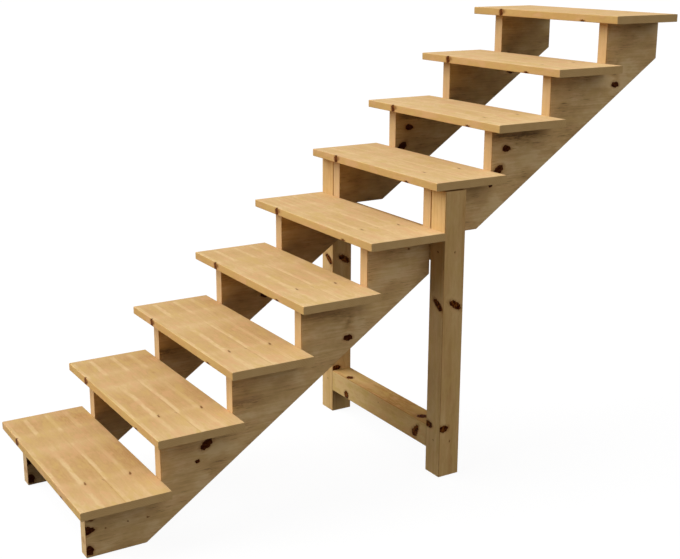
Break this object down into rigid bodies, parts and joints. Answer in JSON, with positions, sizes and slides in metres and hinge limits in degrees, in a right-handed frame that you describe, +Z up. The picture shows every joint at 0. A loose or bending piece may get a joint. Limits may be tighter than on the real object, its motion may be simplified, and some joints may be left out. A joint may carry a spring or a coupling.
{
  "type": "outdoor wooden staircase",
  "caption": "Straight open-riser outdoor wooden staircase: slab treads on sawtooth cut stringers, with a frame of posts and cross rails where the flights meet.",
  "frame": {"origin": "on the ground, under the middle of the stair's bounding box", "axes": "+X to the climber's right across the stair, +Y along the climb from the bottom tread to the top, +Z up"},
  "size_m": [0.8, 2.29, 1.557],
  "materials": {
    "tread_pine": "planed pine with knots, sealed matt",
    "stringer_pine": "planed pine with knots, sealed matt",
    "post_pine": "planed pine with knots, sealed matt",
    "rail_pine": "planed pine with knots, sealed matt"
  },
  "bodies": {
    "root": {"tread_1": "tread_pine", "tread_2": "tread_pine", "tread_3": "tread_pine", "tread_4": "tread_pine", "tread_5": "tread_pine", "tread_6": "tread_pine", "tread_7": "tread_pine", "tread_8": "tread_pine", "tread_9": "tread_pine", "lower_stringer_left": "stringer_pine", "lower_stringer_right": "stringer_pine", "upper_stringer_left": "stringer_pine", "upper_stringer_right": "stringer_pine", "post_left": "post_pine", "post_right": "post_pine", "lower_cross_rail": "rail_pine", "upper_cross_rail": "rail_pine"}
  },
  "joints": []
}
